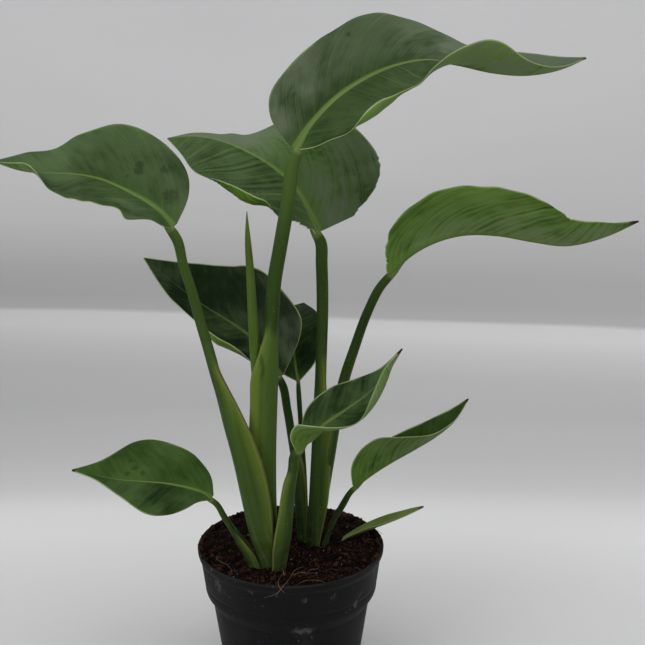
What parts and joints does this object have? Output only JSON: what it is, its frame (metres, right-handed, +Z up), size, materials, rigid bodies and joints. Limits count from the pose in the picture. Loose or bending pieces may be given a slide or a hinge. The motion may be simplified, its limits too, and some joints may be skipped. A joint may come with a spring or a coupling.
{
  "type": "potted bird of paradise",
  "caption": "Young bird of paradise plant with long-stalked paddle leaves and a rolled new leaf, in a black nursery pot filled with potting soil.",
  "frame": {"origin": "centre of the pot's underside, on the surface that it stands on", "axes": "+Z up along the pot's axis, +X to the right of the two fans of leaves, which spread along X, and -Y to the front"},
  "size_m": [0.5294, 0.1847, 0.6044],
  "materials": {
    "pot_plastic": "thin moulded black plastic, satin, dusted with soil",
    "potting_soil": "damp dark coir and peat, coarse and matte",
    "leaf_green": "thick leathery leaf with a soft waxy sheen",
    "young_green": "fresh young leaf, smooth and waxy"
  },
  "bodies": {
    "root": {"pot": "pot_plastic", "soil": "potting_soil", "leaf_top": "leaf_green", "leaf_left": "leaf_green", "leaf_front": "leaf_green", "leaf_low_left": "leaf_green", "leaf_right": "leaf_green", "leaf_middle": "leaf_green", "leaf_back": "leaf_green", "leaf_low_right": "leaf_green", "leaf_far": "leaf_green", "first_leaf": "young_green", "spear": "young_green"}
  },
  "joints": []
}
